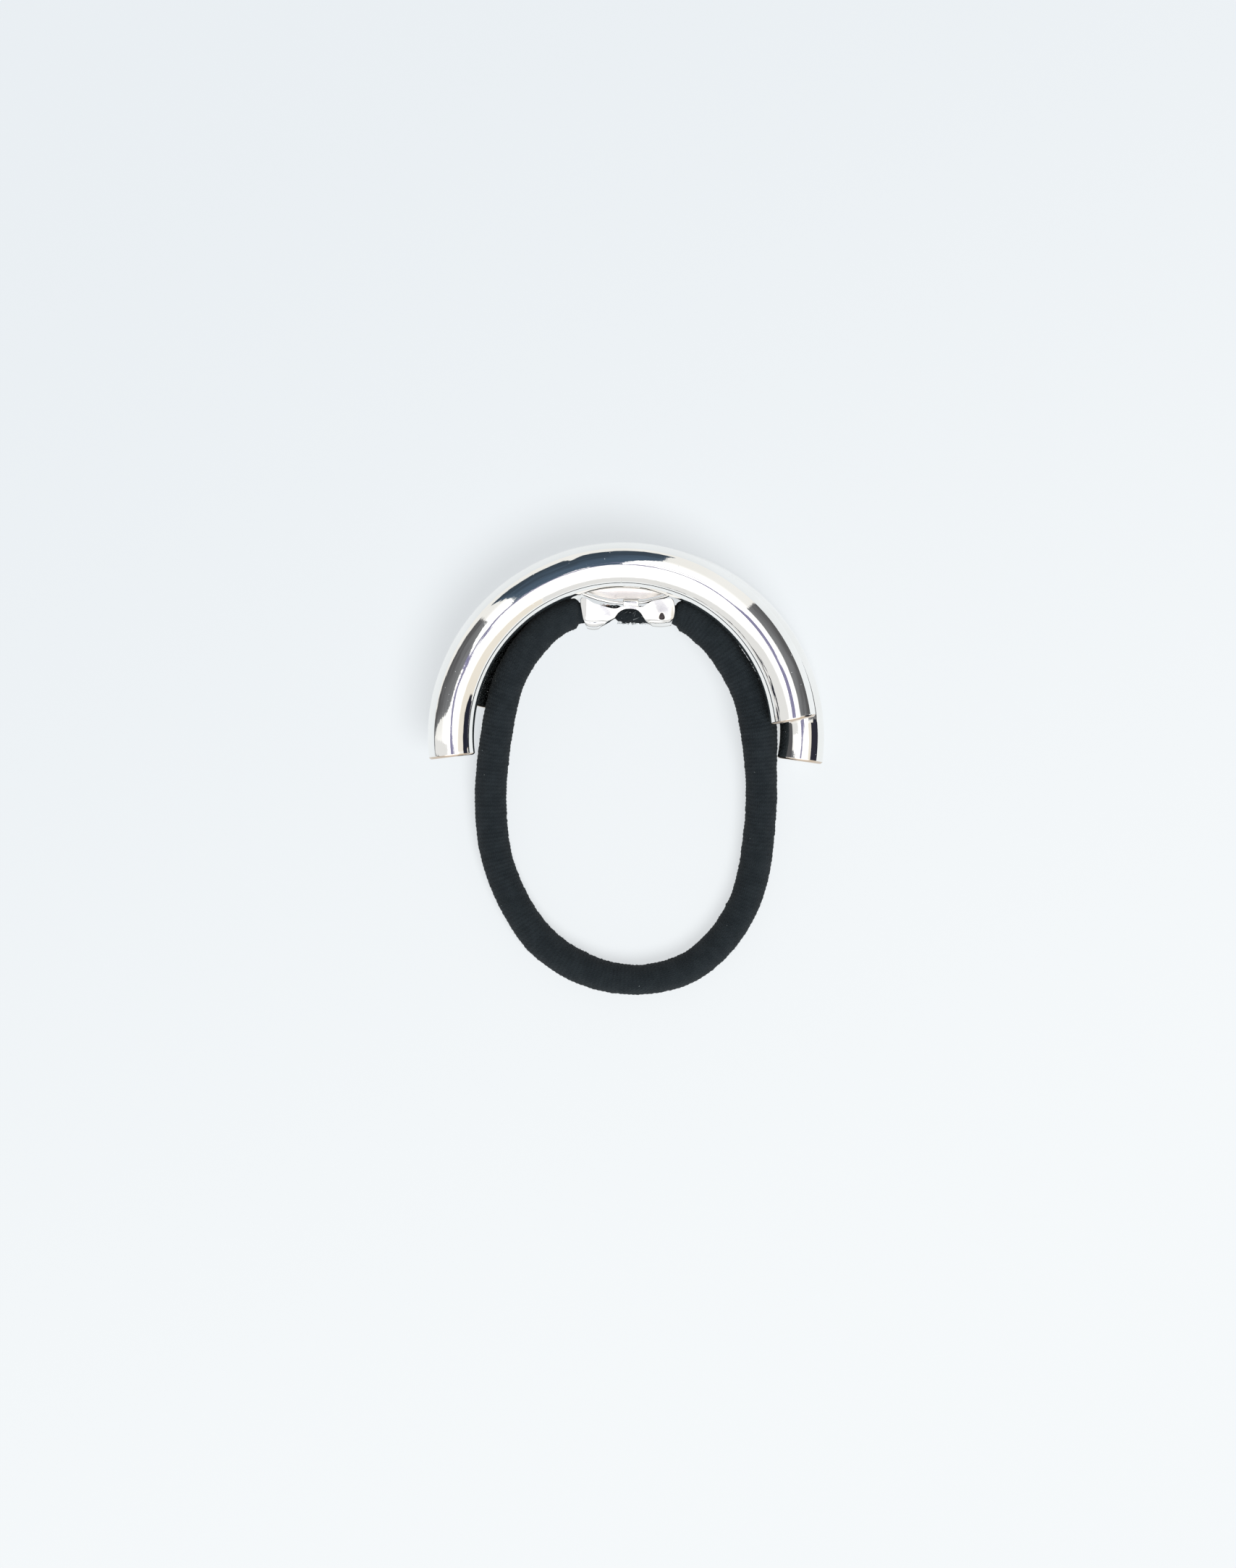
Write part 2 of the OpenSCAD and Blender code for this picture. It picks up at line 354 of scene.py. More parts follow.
# The strap
# A narrow strip of the same sheet, bowed and soldered across the inside of the bend. It stands
# clear of the tubes in the middle, so that the clip can be hooked round it.
STRAP_X = upper_centre[0] + 0.7 * MM
STRAP_BOW = 14 * MM
STRAP_T = 0.4 * MM
STRAP_H = 2.7 * MM
STRAP_FRONT = bend_y + 17.15 * MM
STRAP_HALF_ANGLE = 29
STRAP_SQUARENESS = 0.35


def squarish(half_x, half_y, turn, power):
    """A rounded box as a section: the cosine and the sine of the turn keep their signs, and a
    power under 1 presses their sizes outwards."""
    return (half_x * np.sign(np.cos(turn)) * np.abs(np.cos(turn)) ** power,
            half_y * np.sign(np.sin(turn)) * np.abs(np.sin(turn)) ** power)


strap_turn = np.radians(270 + np.linspace(-STRAP_HALF_ANGLE, STRAP_HALF_ANGLE, 120))[:, None]
strap_round = full_turn(32)
strap_centre = np.array([STRAP_X, STRAP_FRONT + STRAP_T / 2 + STRAP_BOW, seam_centre[2]])
strap_section = squarish(STRAP_T / 2, STRAP_H / 2, strap_round, STRAP_SQUARENESS)
strap_grid = carry(*strap_section, strap_turn, strap_centre, STRAP_BOW)
strap = skin("strap", strap_grid)
finish_piece(strap, "tube_pair", silver)

# The solder behind the strap
# Solder that has run into the trough between the strap and the tubes. It stops behind the
# clip's bar, and its hollow face is what shines up between the strap and the upper tube.
TROUGH_FLOOR = 0.6 * MM
TROUGH_SAG = 0.16 * MM
TROUGH_BOTTOM = 0.36
TROUGH_T = 0.3 * MM
TROUGH_HALF_ANGLE = 17
TROUGH_BACK_R = BEND_R - 2 * MM
# Where it stops for the bar: the bar's middle from the bend's, half a width, how far the stop
# takes to fade out beside it, and how far back from the middle of the bend it stops
BAR_CLEAR_X, BAR_CLEAR_HALF_W, BAR_CLEAR_FADE, BAR_CLEAR_Y = 0.7 * MM, 1.3 * MM, 0.5 * MM, 17.95 * MM

trough_turn = np.radians(np.linspace(90 - TROUGH_HALF_ANGLE, 90 + TROUGH_HALF_ANGLE, 90))[:, None]
across = np.linspace(0, 1, 16)[None]
trough_x = TROUGH_BACK_R * np.cos(trough_turn) * np.ones_like(across)
strap_back = STRAP_FRONT - bend_y + STRAP_T + STRAP_BOW - np.sqrt(
    (STRAP_BOW - STRAP_T / 2) ** 2 - (trough_x - STRAP_X + upper_centre[0]) ** 2)
beside_bar = np.abs(trough_x - BAR_CLEAR_X) - BAR_CLEAR_HALF_W
stopped = np.clip(1 - beside_bar / BAR_CLEAR_FADE, 0, 1)
front_y = np.maximum(strap_back, strap_back + (BAR_CLEAR_Y - strap_back) * stopped)
back_y = np.sqrt(TROUGH_BACK_R ** 2 - trough_x ** 2)
trough_y = front_y + (back_y - front_y) * across
hollow = TROUGH_SAG * (2 * across - 2 * TROUGH_BOTTOM) ** 2
trough_z = seam_centre[2] + TROUGH_FLOOR + hollow * np.ones_like(trough_x)
trough_top = np.stack([upper_centre[0] + trough_x, bend_y + trough_y, trough_z], axis=-1)
trough_under = trough_top[:, ::-1] - [0, 0, TROUGH_T]
strap_solder = skin("strap_solder", np.concatenate([trough_top, trough_under], axis=1)[:, ::-1])
solder_look = plated("bright_solder", clean=(1.0, 0.97, 0.95), hazed=(0.98, 0.92, 0.885),
                     roughness=(0.2, 0.28), unevenness=0.002 * MM)[0]
finish_piece(strap_solder, "tube_pair", solder_look)

# The clip
# A bow tie stamped out of thin bright sheet with a hole in its middle, folded over the two ends
# of the elastic so that the hole becomes a notch, and pressed down on them.
CLIP_AT = np.array([upper_centre[0] + 0.7 * MM, bend_y + 15.65 * MM, seam_centre[2]])
CLIP_SHEET_T = 0.34 * MM
CLIP_HALF_H = 1.83 * MM
LEFT_DEPTH, RIGHT_DEPTH = 1.73, 1.37
# Each fold is deepest here, and its depth falls off to both sides by this much per mm squared
LEFT_DEEPEST, RIGHT_DEEPEST, LEFT_ROUNDING, RIGHT_ROUNDING = -4.4, 4.2, 0.2, 0.09
# Each row is a station round the upper leaf from the waist to the fold: a point of the stamped
# outline and the point of the hole's edge across from it. The first number of each is x in mm
# from the clip's middle; the second is 0 at the front of the fold, 1 where the leaf turns flat,
# and from there 1 mm more for each 1.
LEFT_LEAF = np.array([
    [0.4, 2.38, 0.4, 1.97], [-0.67, 2.25, -0.35, 1.92], [-1.53, 1.99, -0.9, 1.68],
    [-2.3, 2.06, -1.3, 1.36], [-3.4, 2.38, -1.55, 1.0], [-4.5, 2.72, -1.85, 0.86],
    [-5.4, 3.26, -2.2, 0.78], [-5.98, 3.38, -2.5, 0.71], [-6.13, 2.85, -2.8, 0.6],
    [-5.98, 1.66, -3.03, 0.5], [-5.82, 0.86, -3.35, 0.4], [-5.6, 0.58, -3.6, 0.3],
    [-5.35, 0.3, -3.75, 0.16], [-5.25, 0, -3.8, 0],
])
RIGHT_LEAF = np.array([
    [0.4, 2.38, 0.4, 1.97], [1.3, 2.2, 1.05, 1.87], [2.0, 2.22, 1.5, 1.6],
    [2.5, 2.55, 1.8, 1.25], [3.3, 3.0, 1.98, 0.95], [4.7, 3.25, 2.15, 0.82],
    [5.7, 3.28, 2.35, 0.65], [6.05, 2.65, 2.55, 0.55], [6.14, 1.85, 2.75, 0.47],
    [6.04, 1.0, 2.95, 0.4], [5.86, 0.6, 3.1, 0.3], [5.7, 0.3, 3.2, 0.15], [5.65, 0, 3.25, 0],
])
# The upper leaf's creases: x, q, half length in mm, half width in q, depth in mm
CREASES = [(-4.3, 0.68, 1.4, 0.05, 0.16), (3.6, 0.66, 1.0, 0.05, 0.1)]
# A dented hole in the right tab: its middle, half width, half length and depth in mm, and by what
# share it is narrower at its front
HOLE_DENT_AT, HOLE_DENT_SIZE, HOLE_DENT_DEPTH, HOLE_DENT_TAPER = (4.43, -0.02), (0.36, 0.5), 0.2, 0.45
# A low pillow in the right tab: its middle, its reach and its rise in mm
PILLOW_AT, PILLOW_SIZE, PILLOW_H = (4.4, 0.1), (1.3, 1.0), 0.035
# The outer ends curl down by this much, each from the first x to the second, in mm
CURL_H, LEFT_CURL, RIGHT_CURL = 0.28, (5.2, 6.3), (5.3, 6.4)
LEAF_SLOPE = 0.07
RIPPLE_H = 0.025


def hermite(t, start, leaving, end, arriving):
    """The cubic from start to end whose slopes there are leaving and arriving, at the share t."""
    return ((1 + 2 * t) * (1 - t) ** 2 * start + t * (1 - t) ** 2 * leaving
            + t * t * (3 - 2 * t) * end + t * t * (t - 1) * arriving)


def smooth_rows(rows, count):
    """A cubic through the rows of a table, as many rows as asked for."""
    at = np.arange(len(rows))
    slope = np.gradient(rows, axis=0)
    fine = np.linspace(0, len(rows) - 1, count)
    k = np.minimum(fine.astype(int), len(rows) - 2)
    t = (fine - at[k])[:, None]
    return hermite(t, rows[k], slope[k], rows[k + 1], slope[k + 1])


def bump(x, y, at_x, at_y, wide, deep):
    """1 at a place, falling to 0 round it like a bell."""
    return np.exp(-((x - at_x) / wide) ** 2 - ((y - at_y) / deep) ** 2)


def smooth_step(value, low, high):
    """0 below low, 1 above high, and a smooth step between."""
    share = np.clip((value - low) / (high - low), 0, 1)
    return share * share * (3 - 2 * share)


def folded(x, q, sink):
    """The place of a point of the flat blank once it is folded, sink mm under its outer face.
    The fold is half an ellipse, deeper in the left tab; beyond it both leaves run straight back.
    The upper leaf rises a little to the back, has a crease in each tab, a low pillow and the
    dent of a hole in the right one, and both leaves curl down at their outer ends."""
    left_depth = LEFT_DEPTH - LEFT_ROUNDING * np.clip(x - LEFT_DEEPEST, -1.5, 1) ** 2
    right_depth = RIGHT_DEPTH - RIGHT_ROUNDING * np.clip(x - RIGHT_DEEPEST, -1, 1.8) ** 2
    depth = left_depth + (right_depth - left_depth) * smooth_step(x, -2, 2)
    rise = CLIP_HALF_H / MM
    bend = np.radians(90) * np.clip(q, -1, 1)
    y = -depth * np.cos(bend) + np.clip(np.abs(q) - 1, 0, None)
    z = rise * np.sin(bend)
    out_y, out_z = -rise * np.cos(bend), depth * np.sin(bend)
    size = np.hypot(out_y, out_z)
    top = smooth_step(q, 0.3, 0.7)
    lift = LEAF_SLOPE * y * top + PILLOW_H * top * bump(x, y, *PILLOW_AT, *PILLOW_SIZE)
    for at_x, at_q, long, wide, deep in CREASES:
        lift = lift - deep * (q > 0) * bump(x, q, at_x, at_q, long, wide)
    lift -= CURL_H * (smooth_step(-x, *LEFT_CURL) + smooth_step(x, *RIGHT_CURL)) * (q != 0)
    lift += RIPPLE_H * np.sin(1.7 * x + 0.9 * y + 1) * top
    back = (y - HOLE_DENT_AT[1]) / HOLE_DENT_SIZE[1]
    across = (x - HOLE_DENT_AT[0]) / HOLE_DENT_SIZE[0] * (1 + HOLE_DENT_TAPER * back)
    lift -= HOLE_DENT_DEPTH * top * (1 - smooth_step(np.hypot(across, back), 0.75, 1.0)) * (sink == 0)
    away = lift - sink
    return np.stack([x, y + away * out_y / size, z + away * out_z / size], axis=-1)


def leaf_grid(table, rows, cols):
    """The blank between the stamped outline and the hole's edge, from the waist round one end
    to the waist of the lower leaf, which is the upper one turned over."""
    upper = smooth_rows(table, rows)
    lower = upper[::-1][1:] * [1, -1, 1, -1]
    ring = np.vstack([upper, lower])
    share = np.linspace(0, 1, cols)[None, :, None]
    return ring[:, None, :2] * (1 - share) + ring[:, None, 2:] * share


# The blank runs round both tabs as one ring. Its outer face and the inner face, a sheet's
# thickness under it, meet at the stamped outline and at the hole's edge.
LEAF_ROWS, LEAF_COLS = 200, 44
left_blank = leaf_grid(LEFT_LEAF, LEAF_ROWS, LEAF_COLS)
right_blank = leaf_grid(RIGHT_LEAF, LEAF_ROWS, LEAF_COLS)
blank = np.concatenate([left_blank, right_blank[::-1][1:-1]])
outer_face = folded(blank[..., 0], blank[..., 1], 0)
inner_face = folded(blank[..., 0], blank[..., 1], CLIP_SHEET_T / MM)[:, ::-1]
clip_grid = CLIP_AT + np.concatenate([outer_face, inner_face], axis=1) * MM
stamped_clip = skin("stamped_clip", clip_grid, caps=False, ring=True)
clip_look, clip_tree, clip_shader, clip_place = plated(
    "clip_plate", clean=(0.955, 0.95, 0.945), hazed=(0.92, 0.905, 0.88),
    roughness=(0.1, 0.2), unevenness=0.006 * MM)

# Painted shade: the hole's dent is painted near black and not metallic, standing in for the shaded inside
# of the clip
HOLE_PAINTED_SHADE = (0.022, 0.012, 0.014)
hole_shade_middle = tuple(float(v) for v in CLIP_AT + np.array([*HOLE_DENT_AT, 0]) * MM)
hole_shade_offset = vectors(clip_tree, "SUBTRACT", clip_place, hole_shade_middle)
hole_shade_offset = vectors(clip_tree, "DIVIDE", hole_shade_offset, (HOLE_DENT_SIZE[0] * MM, HOLE_DENT_SIZE[1] * MM, 1.0))
hole_shade_x, hole_shade_y, hole_shade_z = axes(clip_tree, hole_shade_offset)
hole_shade_x = maths(clip_tree, "MULTIPLY", hole_shade_x,
               maths(clip_tree, "MULTIPLY_ADD", hole_shade_y, HOLE_DENT_TAPER, 1))
hole_shade_reach = maths(clip_tree, "MULTIPLY_ADD", hole_shade_x, hole_shade_x,
                   maths(clip_tree, "MULTIPLY", hole_shade_y, hole_shade_y))
hole_painted_shade_mask = maths(clip_tree, "MULTIPLY", ramp(clip_tree, hole_shade_reach, 0.75, 0.95, 1, 0),
                  ramp(clip_tree, hole_shade_z, 0.5 * MM, 1.0 * MM))
tinted(clip_tree, clip_shader, hole_painted_shade_mask, HOLE_PAINTED_SHADE)
clean_metal = clip_shader.inputs["Metallic"].links[0].from_socket
clip_tree.links.new(maths(clip_tree, "MULTIPLY", clean_metal, ramp(clip_tree, hole_painted_shade_mask, 0, 1, 1, 0)),
                    clip_shader.inputs["Metallic"])

# Painted shade: the clip is painted darker from a little above its middle downwards, so the underside of
# the fold's front shows as a thin dark rim
UNDERSIDE_PAINTED_SHADE = (0.36, 0.34, 0.3)
UNDERSIDE_SHADE_FADE = (0.25 * MM, 0.85 * MM)
climb = maths(clip_tree, "SUBTRACT", axes(clip_tree, clip_place)["Z"], float(CLIP_AT[2]))
tinted(clip_tree, clip_shader, ramp(clip_tree, climb, *UNDERSIDE_SHADE_FADE, 1, 0), UNDERSIDE_PAINTED_SHADE)
finish_piece(stamped_clip, "elastic_clip", clip_look)

# The bar of the clip
# A narrow tongue of the same sheet that runs back from the waist over the strap, turns down
# behind it and comes back under it.
BAR_HALF_W = 1.0 * MM
BAR_T = 0.2 * MM
BAR_X = 0.4 * MM
BAR_SQUARENESS = 0.5
# In mm from the clip's middle: how far back it turns down, the height of its top, the radius of
# its turn, and the two points of its root, back and under the top
BAR_BACK, BAR_TOP, BAR_TURN_R = 2.12, 1.62, 0.3
BAR_ROOT = [[1.0, -0.1], [1.4, -0.04]]

bar_corner = np.radians(np.linspace(90, 0, 9))
bar_bend = np.stack([np.cos(bar_corner) - 1, np.sin(bar_corner) - 1], axis=1) * BAR_TURN_R
bar_path = np.vstack([[0, BAR_TOP] + np.array(BAR_ROOT), [BAR_BACK, BAR_TOP] + bar_bend])
bar_path = np.vstack([bar_path, bar_path[::-1] * [1, -1]])
bar_step = np.gradient(bar_path, axis=0)
bar_step /= np.linalg.norm(bar_step, axis=1)[:, None]
bar_out = np.stack([-bar_step[:, 1], bar_step[:, 0]], axis=1)
bar_side, bar_up = squarish(BAR_HALF_W, BAR_T / 2, full_turn(24), BAR_SQUARENESS)
bar_yz = bar_path[:, None] * MM + bar_out[:, None] * bar_up[None, :, None]
bar_x = np.broadcast_to(BAR_X + bar_side, bar_yz.shape[:2])
bar_grid = np.concatenate([bar_x[..., None], bar_yz], axis=-1)
clip_bar = skin("clip_bar", CLIP_AT + bar_grid)
finish_piece(clip_bar, "elastic_clip", clip_look)

# The elastic
# A rubber-cored cord in a black knitted sleeve, bent to a loop. Its two ends are squeezed into
# the clip and butt against each other in the clip's notch.
FREE_R = 2 * MM
GRIP_R = 1.4 * MM
LAY_GAP = 0.05 * MM
# The points that the cord follows: right and back of the clip's middle in mm, the height as a
# share of the clip's, and how far the clip squeezes it, from 0 to 1
ROUTE = np.array([
    [-1.4, 0, 1, 1], [-3.8, 0, 1, 1], [-6.2, 0.4, 1, 1], [-6.8, 0.4, 1, 0.1],
    [-9.2, -0.5, 0.99, 0], [-12.2, -3.1, 0.96, 0], [-14.9, -7.1, 0.86, 0],
    [-16.3, -11.1, 0.72, 0], [-17.1, -15.2, 0.52, 0], [-17.7, -19.8, 0.3, 0],
    [-17.9, -23.4, 0.17, 0], [-17.6, -29, 0.04, 0], [-16.7, -32.9, 0, 0],
    [-14.7, -37.5, 0, 0], [-11.5, -42.1, 0, 0], [-6.8, -45.5, 0, 0], [-2.2, -47.1, 0, 0],
    [2.8, -47.3, 0, 0], [7.8, -45.9, 0, 0], [12.2, -42.3, 0, 0], [15.2, -37.5, 0, 0],
    [16.6, -32.9, 0, 0], [17.1, -29, 0.04, 0], [17.5, -23.4, 0.17, 0],
    [17.3, -18.6, 0.32, 0], [16.7, -13.5, 0.52, 0], [15.8, -10.3, 0.7, 0],
    [13.5, -5.9, 0.88, 0], [10.2, -1.9, 0.97, 0], [6.8, 0.1, 1, 0.1], [6.2, 0.1, 1, 1],
    [3.8, 0, 1, 1], [1.2, 0, 1, 1], [-1.2, 0, 1, 1],
])

lay_z = metal_low[2] + FREE_R + LAY_GAP
route = np.stack([CLIP_AT[0] + ROUTE[:, 0] * MM, CLIP_AT[1] + ROUTE[:, 1] * MM,
                  lay_z + (CLIP_AT[2] - lay_z) * ROUTE[:, 2]], axis=-1)
route_r = FREE_R + (GRIP_R - FREE_R) * ROUTE[:, 3]


def smooth_line(points, count):
    """A cubic through every point, evenly spaced: the line, its place in the list of points and
    its length. The slope at a point weighs the chords before and after it by each other's length."""
    chord = np.linalg.norm(np.diff(points, axis=0), axis=1)
    slope = np.diff(points, axis=0) / chord[:, None]
    before, after = chord[:-1, None], chord[1:, None]
    inner = (slope[:-1] * after + slope[1:] * before) / (before + after)
    slopes = np.vstack([slope[:1], inner, slope[-1:]])
    knots = np.concatenate([[0], np.cumsum(chord)])
    fine = np.linspace(0, knots[-1], 40 * len(points))
    k = np.clip(np.searchsorted(knots, fine, side="right") - 1, 0, len(chord) - 1)
    t = ((fine - knots[k]) / chord[k])[:, None]
    curve = hermite(t, points[k], chord[k, None] * slopes[k],
                    points[k + 1], chord[k, None] * slopes[k + 1])
    walked = np.concatenate([[0], np.cumsum(np.linalg.norm(np.diff(curve, axis=0), axis=1))])
    even = np.linspace(0, walked[-1], count)
    line = np.stack([np.interp(even, walked, curve[:, axis]) for axis in range(3)], axis=-1)
    at = np.interp(even, walked, fine)
    return line, np.interp(at, knots, np.arange(len(points))), walked[-1]


# The cut ends inside the clip, in mm: distance from the end, radius, and how far it sits to the
# right and back of its place
LEFT_END = np.array([[0, 0.3, 0.1, 0.45], [0.4, 0.6, 0, 0.3], [1.2, 0.95, 0, 0.1],
                     [1.8, 1.22, 0, 0.08], [2.6, 1.26, 0, 0.14], [4.0, 1.3, 0, 0.1], [5, 1.4, 0, 0]])
RIGHT_END = np.array([[0, 0.5, -0.6, 0.35], [0.4, 0.85, -0.45, 0.3], [0.9, 1.03, -0.2, 0.22],
                      [2.1, 1.02, 0, 0.22], [2.8, 1.04, 0, 0.2], [6.4, 1.04, 0, 0.24], [7.6, 1.4, 0, 0]])
# How much more the sleeve's radius is than its plain one, in mm: distance from the left end, change
FULLNESS = np.array([[8, 0.07], [35, 0.07], [41, 0.03], [47, 0.01], [54, 0.12], [60, 0.1],
                     [65, 0.02], [69, -0.04], [74, 0], [80, 0.03], [90, 0.06], [128, 0.06]])
# Where the loop leans on the lower tube's right end, in mm: place along Y from the clip, reach,
# how far it shifts to the right, how far it is lifted and how much wider its radius is
LEANS_AT, LEANS_REACH, LEANS_RIGHT, LEANS_UP, LEANS_WIDER = -14.6, 3.6, 0.15, 0.9, 0.34
# How far from each cut end the sleeve comes free of the clip
LEFT_FREE, RIGHT_FREE = 4.9 * MM, 7.6 * MM
# The knit: a course's length, its rib's height in mm, and the number of wales round the cord.
# Its lumps are each a height in mm, the step of their coarse grid in rows and columns, and a seed.
COURSE, COURSE_H, WALES = 0.53 * MM, 0.022, 22
LUMPS = [(0.026, 5, 4, 1), (0.016, 28, 17, 2)]
LOOP_ROWS, LOOP_COLS = 1400, 68


def lumps(rows, cols, row_step, col_step, seed):
    """Smooth random heights on a grid that closes round its columns: random numbers on a coarse
    grid, blended between its points by raised cosines."""
    coarse = np.random.default_rng(seed).normal(size=(rows // row_step + 2, cols // col_step))
    row, col = np.arange(rows) / row_step, np.arange(cols) / col_step
    at_row, at_col = row.astype(int), col.astype(int)
    down = (0.5 - 0.5 * np.cos(math.pi * (row - at_row)))[:, None]
    across = 0.5 - 0.5 * np.cos(math.pi * (col - at_col))
    count = coarse.shape[1]
    blended = coarse[:, at_col % count] * (1 - across) + coarse[:, (at_col + 1) % count] * across
    return blended[at_row] * (1 - down) + blended[at_row + 1] * down


line, row_at, loop_length = smooth_line(route, LOOP_ROWS)
loop_r = np.interp(row_at, np.arange(len(route)), route_r)
tangent = np.gradient(line, axis=0)
tangent /= np.linalg.norm(tangent, axis=1)[:, None]
side = np.cross([0, 0, 1], tangent)
side /= np.linalg.norm(side, axis=1)[:, None]
up = np.cross(tangent, side)
around = full_turn(LOOP_COLS)
distance = np.linspace(0, loop_length, LOOP_ROWS)
free = np.clip((distance - LEFT_FREE) / MM, 0, 1)
free = free * np.clip((loop_length - distance - RIGHT_FREE) / MM, 0, 1)
loop_r = loop_r + np.interp(distance / MM, FULLNESS[:, 0], FULLNESS[:, 1]) * MM * free
leaned = np.exp(-(((line[:, 1] - CLIP_AT[1]) / MM - LEANS_AT) / LEANS_REACH) ** 2)
leaned = leaned * (line[:, 0] > CLIP_AT[0])
loop_r = loop_r + LEANS_WIDER * MM * leaned
spine = line + leaned[:, None] * [LEANS_RIGHT * MM, 0, LEANS_UP * MM]
for end, reach in ((LEFT_END, distance), (RIGHT_END, loop_length - distance)):
    within = reach < end[-1, 0] * MM
    loop_r = np.where(within, np.interp(reach / MM, end[:, 0], end[:, 1]) * MM, loop_r)
    for axis in (0, 1):
        spine[:, axis] += np.where(within, np.interp(reach / MM, end[:, 0], end[:, 2 + axis]) * MM, 0)

# The knit's courses stand out as low uneven ribs
wander = 1.2 * lumps(LOOP_ROWS, LOOP_COLS, 35, 17, 3)
relief = COURSE_H * np.cos(2 * math.pi * distance[:, None] / COURSE + wander)
for lump_h, row_step, col_step, seed in LUMPS:
    relief += lump_h * lumps(LOOP_ROWS, LOOP_COLS, row_step, col_step, seed)
ragged_end = 1.6 * np.clip(1.4 - (loop_length - distance) / (3 * MM), 0, 1)
wide = loop_r[:, None] + relief * MM * (0.35 + 0.65 * free + ragged_end)[:, None]
outward = np.cos(around)[:, None] * side[:, None] + np.sin(around)[:, None] * up[:, None]
loop_grid = spine[:, None] + wide[..., None] * outward
loop_grid[..., 2] = np.maximum(loop_grid[..., 2], LAY_GAP / 2)
elastic_loop = skin("elastic", loop_grid, uv=True)

# Each stitch is a V that points along the loop, and the yarn is slightly mottled. The colour is also
# painted lighter on the stitches' crests and darker in the grooves between them, painted shade.
YARN_DARK, YARN_LIGHT = (0.0085, 0.0125, 0.0155), (0.0155, 0.021, 0.025)
STITCH_SLANT = 1.2
STITCH_H = 0.06 * MM
MOTTLE_PER_M = 700
black_knit, knit, knit_shader = material("black_knit", Roughness=0.95)
knit_map = knit.nodes.new("ShaderNodeUVMap")
knit_map.uv_map = "along"
knit_along, knit_round = axes(knit, knit_map.outputs[0])[:2]
wale = maths(knit, "FRACT", maths(knit, "MULTIPLY", knit_round, WALES))
leg = maths(knit, "ABSOLUTE", maths(knit, "SUBTRACT", wale, 0.5))
stitch = maths(knit, "MULTIPLY_ADD", knit_along, float(loop_length / COURSE),
               maths(knit, "MULTIPLY", leg, STITCH_SLANT))
yarn = maths(knit, "SINE", maths(knit, "MULTIPLY", stitch, 2 * math.pi))
from_leg = maths(knit, "ABSOLUTE", maths(knit, "SUBTRACT", leg, 0.25))
groove = ramp(knit, from_leg, 0.12, 0.25, 1, 0)
stitch_height = maths(knit, "MULTIPLY_ADD", yarn, 0.5, 0.5)
stitch_height = maths(knit, "MULTIPLY", stitch_height, groove)
knit_place = knit.nodes.new("ShaderNodeTexCoord").outputs["Object"]
mottle = noise(knit, knit_place, MOTTLE_PER_M, 3)
# Painted shade from the stitch height, added to the yarn's own mottled tone
shade = maths(knit, "MULTIPLY_ADD", stitch_height, 0.35,
              ramp(knit, mottle, 0.35, 0.68, 0, 0.65))
knit.links.new(mixed(knit, shade, YARN_DARK, YARN_LIGHT), knit_shader.inputs["Base Color"])
raised(knit, knit_shader, maths(knit, "ADD", stitch_height, mottle), STITCH_H)
finish_piece(elastic_loop, "elastic_loop", black_knit)

# The elastic's fuzz and frayed ends
# Fine loose fibres all over the sleeve, a few specks of pale lint among them, and the threads of
# the two cut ends, which stick out in the clip's notch and behind its left tab. A share of the
# threads in the notch is painted pale grey, a painted highlight on the frayed strands.
FUZZ_COUNT = 6000
# In mm: how far a fibre stands out, its stray, its curl, how deep its root is and its thickness
FUZZ_OUT, FUZZ_STRAY, FUZZ_CURL, FUZZ_ROOT, FUZZ_THICK = (0.02, 0.14), 0.08, 0.06, 0.03, (0.008, 0.016)
LINT_SHARE = 0.006
LINT_THICKER = 2.5
FIBRE_TINT, LINT_AND_GLINT_TINT, RUBBER_TINT = (0.02, 0.026, 0.03), (0.3, 0.33, 0.34), (0.3, 0.17, 0.12)


def fibres(name, root, lean, curl, thick, tint):
    """Tapering fibres with a triangle for a section. A fibre's point at t from 0 to 1 is its
    root plus t times lean plus t squared times curl, and its radius is thick times 1 - 0.8 t.
    Its colour is kept as an attribute."""
    t = np.linspace(0, 1, 3)[None, :, None]
    spines = root[:, None] + lean[:, None] * t + curl[:, None] * t * t
    heading = lean[:, None] + 2 * curl[:, None] * t
    first = np.cross(heading, [0.31, 0.47, 0.83])
    first /= np.linalg.norm(first, axis=-1, keepdims=True)
    second = np.cross(heading, first)
    second /= np.linalg.norm(second, axis=-1, keepdims=True)
    corner = 2 * math.pi / 3 * np.arange(3)[:, None]
    spread = (thick[:, None, None] * (1 - 0.8 * t))[:, :, None]
    section = np.cos(corner) * first[:, :, None] + np.sin(corner) * second[:, :, None]
    points = spines[:, :, None] + spread * section
    points[..., 2] = np.maximum(points[..., 2], 0.01 * MM)
    first_point = 9 * np.arange(len(root))[:, None, None]
    pairs = np.array([[0, 1], [1, 2], [2, 0]])
    rows = np.array([0, 3])[:, None]
    below, above = rows + pairs.T[:, None], rows + 3 + pairs.T[:, None]
    walls = np.stack([below[0], below[1], above[1], above[0]], axis=-1)
    walls = (first_point + walls.reshape(1, 6, 4)).reshape(-1, 4).tolist()
    ends = (first_point + np.array([[[2, 1, 0], [6, 7, 8]]])).reshape(-1, 3).tolist()
    mesh = bpy.data.meshes.new(name)
    mesh.from_pydata(points.reshape(-1, 3).tolist(), [], walls + ends)
    colour = mesh.attributes.new("tint", "FLOAT_COLOR", "POINT")
    shown = np.repeat(np.hstack([tint, np.ones((len(tint), 1))]), 9, axis=0)
    colour.data.foreach_set("color", shown.astype(np.float32).ravel())
    return placed(name, mesh)


